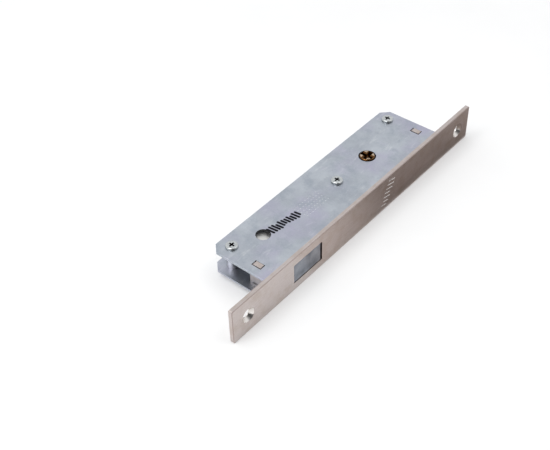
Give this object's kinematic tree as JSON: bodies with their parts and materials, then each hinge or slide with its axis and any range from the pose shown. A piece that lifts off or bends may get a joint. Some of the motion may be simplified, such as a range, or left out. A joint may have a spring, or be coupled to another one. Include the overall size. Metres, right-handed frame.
{
  "type": "mortise lock",
  "caption": "Narrow-stile mortise deadlock: a flat plate case behind a long faceplate, and a sliding bolt that a cross-key cylinder drives by rack and pinion.",
  "frame": {"origin": "centre of the faceplate's front face, which is also the centre of its two screw holes", "axes": "+X out of the faceplate, the way the bolt is thrown; +Y along the faceplate from the bolt's end to the keyhole's end; +Z normal to the case plates, out of the screwed top plate"},
  "size_m": [0.041, 0.21, 0.022],
  "materials": {
    "zinc_sheet": "blue-passivated zinc plate, satin, faintly blotchy",
    "brushed_nickel": "brushed nickel plate",
    "post_steel": "turned steel, bright",
    "screw_zinc": "bright zinc plate",
    "guide_steel": "plain drawn steel",
    "cast_zinc": "die-cast zinc alloy, matt",
    "cap_brass": "plain brass",
    "spring_wire": "drawn spring wire",
    "bolt_steel": "ground zinc-plated steel",
    "bar_steel": "stamped zinc-plated steel",
    "plug_brass": "turned brass",
    "ring_steel": "black spring steel",
    "pin_steel": "hardened steel",
    "pin_brass": "plain brass"
  },
  "bodies": {
    "case": {"case_top_plate": "zinc_sheet", "case_bottom_plate": "zinc_sheet", "faceplate": "brushed_nickel", "faceplate_lug_near": "brushed_nickel", "faceplate_lug_far": "brushed_nickel", "spacer_post_near": "post_steel", "spacer_post_middle": "post_steel", "spacer_post_far": "post_steel", "case_screws": "screw_zinc", "housing_screws": "screw_zinc", "bolt_guide_near": "guide_steel", "bolt_guide_far": "guide_steel", "bar_guide_pins": "guide_steel", "cylinder_housing": "cast_zinc", "chamber_caps": "cap_brass", "pin_springs_front": "spring_wire", "pin_springs_far": "spring_wire", "pin_springs_rear": "spring_wire", "pin_springs_near": "spring_wire"},
    "bolt": {"deadbolt": "bolt_steel", "bolt_follower_pin": "guide_steel"},
    "bar": {"drive_bar": "bar_steel"},
    "plug": {"cylinder_plug": "plug_brass", "drive_pinion": "bar_steel", "plug_retaining_ring": "ring_steel"},
    "drivers_front": {"driver_pins_front": "pin_steel"},
    "drivers_far": {"driver_pins_far": "pin_steel"},
    "drivers_rear": {"driver_pins_rear": "pin_steel"},
    "drivers_near": {"driver_pins_near": "pin_steel"},
    "key_pins_front": {"key_pins_front": "pin_brass"},
    "key_pins_far": {"key_pins_far": "pin_brass"},
    "key_pins_rear": {"key_pins_rear": "pin_brass"},
    "key_pins_near": {"key_pins_near": "pin_brass"}
  },
  "joints": [
    {"name": "bolt_throw", "type": "slide", "parent": "case", "child": "bolt", "axis": [1, 0, 0], "range_m": [0, 0.015]},
    {"name": "bar_slide", "type": "slide", "parent": "case", "child": "bar", "axis": [0, 1, 0], "range_m": [0, 0.02011]},
    {"name": "plug_turn", "type": "hinge", "parent": "case", "child": "plug", "pos_m": [-0.0225, 0.034, 0], "axis": [0, 0, 1], "range_deg": [0, 180]},
    {"name": "drivers_front_slide", "type": "slide", "parent": "case", "child": "drivers_front", "axis": [1, 0, 0], "range_m": [0, 0.0008], "stiffness_N_per_m": 250, "springref_m": -0.001, "deforming": ["pin_springs_front"]},
    {"name": "drivers_far_slide", "type": "slide", "parent": "case", "child": "drivers_far", "axis": [0, 1, 0], "range_m": [0, 0.0008], "stiffness_N_per_m": 250, "springref_m": -0.001, "deforming": ["pin_springs_far"]},
    {"name": "drivers_rear_slide", "type": "slide", "parent": "case", "child": "drivers_rear", "axis": [-1, 0, 0], "range_m": [0, 0.0008], "stiffness_N_per_m": 250, "springref_m": -0.001, "deforming": ["pin_springs_rear"]},
    {"name": "drivers_near_slide", "type": "slide", "parent": "case", "child": "drivers_near", "axis": [0, -1, 0], "range_m": [0, 0.0008], "stiffness_N_per_m": 250, "springref_m": -0.001, "deforming": ["pin_springs_near"]},
    {"name": "key_pins_front_slide", "type": "slide", "parent": "plug", "child": "key_pins_front", "axis": [1, 0, 0], "range_m": [-0.0006, 0]},
    {"name": "key_pins_far_slide", "type": "slide", "parent": "plug", "child": "key_pins_far", "axis": [0, 1, 0], "range_m": [-0.0006, 0]},
    {"name": "key_pins_rear_slide", "type": "slide", "parent": "plug", "child": "key_pins_rear", "axis": [-1, 0, 0], "range_m": [-0.0006, 0]},
    {"name": "key_pins_near_slide", "type": "slide", "parent": "plug", "child": "key_pins_near", "axis": [0, -1, 0], "range_m": [-0.0006, 0]}
  ],
  "couplings": [
    {"joint": "bar_slide", "follows": "bolt_throw", "ratio": 1.3404},
    {"joint": "plug_turn", "follows": "bolt_throw", "rad_per_m": 209.44}
  ]
}
